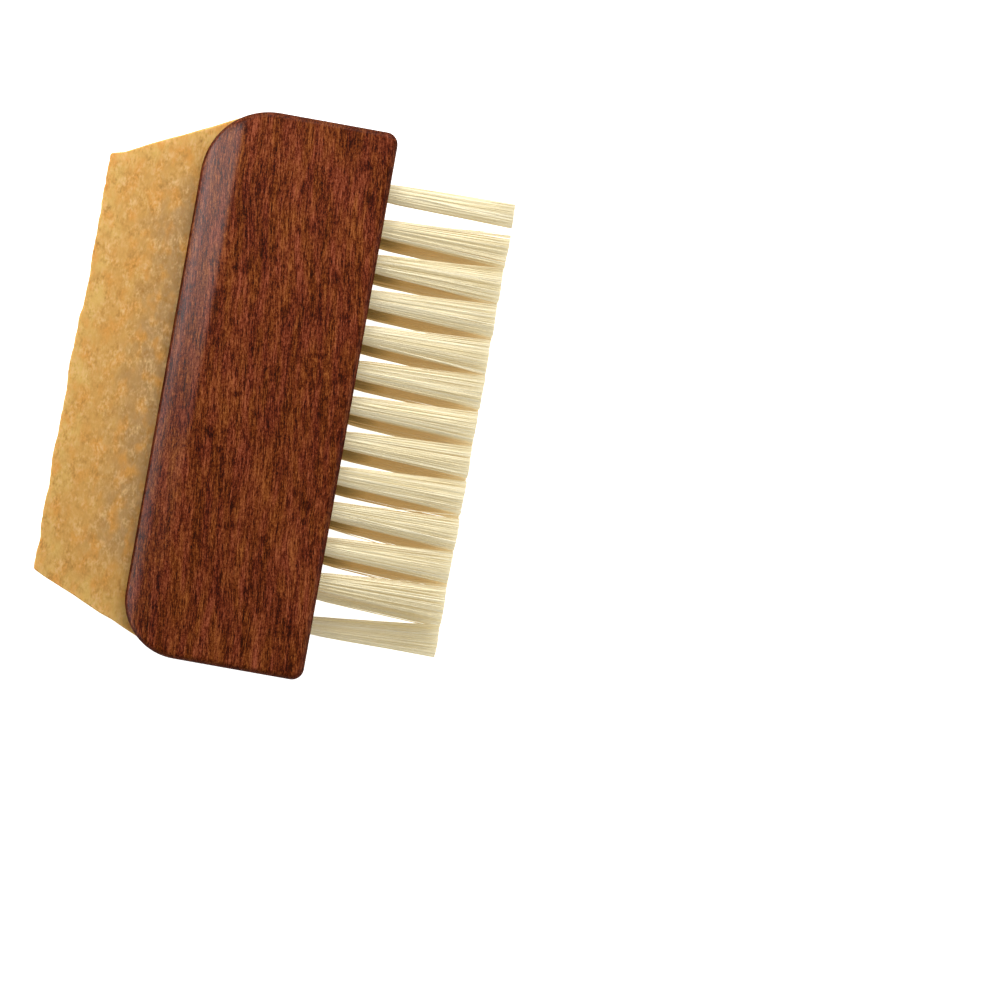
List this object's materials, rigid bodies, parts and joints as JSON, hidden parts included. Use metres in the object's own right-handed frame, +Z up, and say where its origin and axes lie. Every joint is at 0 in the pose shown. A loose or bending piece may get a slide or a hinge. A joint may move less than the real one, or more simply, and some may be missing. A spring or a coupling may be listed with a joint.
{
  "type": "suede brush",
  "caption": "Palm-sized suede brush: a varnished hardwood block with two rows of bristle tufts on one long edge and a slab of crepe rubber on the other.",
  "frame": {"origin": "centre of the block's lower flat face, on which the brush lies", "axes": "+X from the crepe edge to the bristle tips, +Y along the block, +Z up through its thickness"},
  "size_m": [0.0709, 0.095, 0.0175],
  "materials": {
    "varnished_hardwood": "red-brown stain under satin varnish, fine dark grain along the block",
    "crepe_rubber": "raw amber crepe rubber, mottled and slightly translucent at its edges",
    "cured_adhesive": "dark brown cured contact adhesive",
    "anchor_wire": "flat rolled steel wire",
    "natural_bristle": "undyed pale natural bristle, trimmed flush"
  },
  "bodies": {
    "root": {"handle_block": "varnished_hardwood", "crepe_pad": "crepe_rubber", "glue_film": "cured_adhesive", "tuft_anchors": "anchor_wire", "tuft_a01": "natural_bristle", "tuft_a02": "natural_bristle", "tuft_a03": "natural_bristle", "tuft_a04": "natural_bristle", "tuft_a05": "natural_bristle", "tuft_a06": "natural_bristle", "tuft_a07": "natural_bristle", "tuft_a08": "natural_bristle", "tuft_a09": "natural_bristle", "tuft_a10": "natural_bristle", "tuft_a11": "natural_bristle", "tuft_a12": "natural_bristle", "tuft_b01": "natural_bristle", "tuft_b02": "natural_bristle", "tuft_b03": "natural_bristle", "tuft_b04": "natural_bristle", "tuft_b05": "natural_bristle", "tuft_b06": "natural_bristle", "tuft_b07": "natural_bristle", "tuft_b08": "natural_bristle", "tuft_b09": "natural_bristle", "tuft_b10": "natural_bristle", "tuft_b11": "natural_bristle", "tuft_b12": "natural_bristle"}
  },
  "joints": []
}
